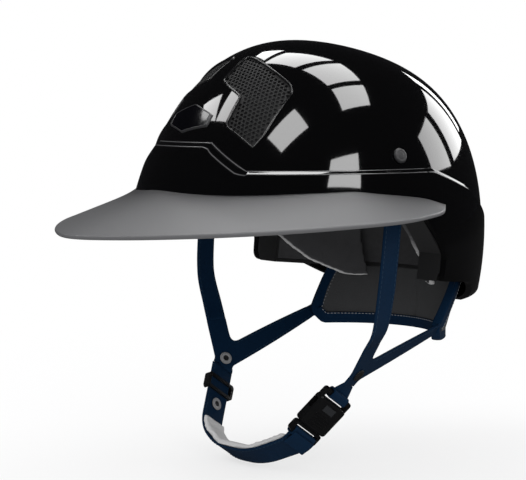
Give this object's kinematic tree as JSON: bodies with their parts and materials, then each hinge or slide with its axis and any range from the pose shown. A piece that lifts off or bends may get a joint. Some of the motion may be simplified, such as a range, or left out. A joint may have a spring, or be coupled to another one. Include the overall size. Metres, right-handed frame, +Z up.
{
  "type": "jockey skull cap",
  "caption": "Riding helmet with a gloss shell, mesh vents, a wide fixed brim, padded lining, a nape panel and a webbing harness with a side release buckle.",
  "frame": {"origin": "middle of the wearer's head, level with the ears, inside the lining", "axes": "+Z up, -Y is where the face looks, +X is the wearer's left"},
  "size_m": [0.296, 0.3569, 0.312],
  "materials": {
    "shell": "gloss black",
    "visor": "satin dark grey",
    "vent_mesh": "satin black",
    "vent_frame": "gloss black",
    "badge": "gloss black",
    "rivet": "satin black",
    "metal": "satin",
    "foam": "matt black foam",
    "trim": "matt black",
    "webbing": "dark navy webbing",
    "lining": "matt dark lining",
    "chin_fabric": "pale soft pad",
    "buckle": "satin black",
    "snap": "dark satin"
  },
  "bodies": {
    "helmet": {"outer_shell": "shell", "eps_liner": "foam", "edge_trim": "trim", "brow_pad": "lining", "side_pad_left": "lining", "side_pad_right": "lining", "crown_pad": "lining", "nape_panel": "lining", "nape_edging": "webbing", "nape_studs": "foam", "brim": "visor", "vent_mesh_left": "vent_mesh", "vent_mesh_right": "vent_mesh", "vent_frame_left": "vent_frame", "vent_frame_right": "vent_frame", "front_badge": "badge", "side_rivets": "rivet", "rivet_washers": "metal", "yoke_left": "webbing", "yoke_right": "webbing", "chin_strap": "webbing", "chin_pad": "chin_fabric", "snap_studs": "snap", "buckle_socket": "buckle"},
    "slider": {"strap_slider": "buckle"},
    "plug": {"buckle_plug": "buckle"},
    "prong_front": {"buckle_prong_front": "buckle"},
    "prong_rear": {"buckle_prong_rear": "buckle"}
  },
  "joints": [
    {"name": "plug_slide", "type": "slide", "parent": "helmet", "child": "plug", "axis": [-0.4384, -0.5155, -0.7362], "range_m": [0, 0.02], "deforming": ["chin_strap", "chin_pad", "buckle_prong_front", "buckle_prong_rear"]},
    {"name": "prong_front_squeeze", "type": "hinge", "parent": "plug", "child": "prong_front", "pos_m": [0.05093, -0.0487, -0.11732], "axis": [0.8988, -0.2514, -0.3591], "range_deg": [-10, 0], "stiffness_Nm_per_rad": 0.02},
    {"name": "prong_rear_squeeze", "type": "hinge", "parent": "plug", "child": "prong_rear", "pos_m": [0.05093, -0.03559, -0.1265], "axis": [0.8988, -0.2514, -0.3591], "range_deg": [0, 10], "stiffness_Nm_per_rad": 0.02},
    {"name": "slider_slide", "type": "slide", "parent": "helmet", "child": "slider", "axis": [0.4138, -0.5222, -0.7457], "range_m": [-0.008, 0.004]}
  ]
}
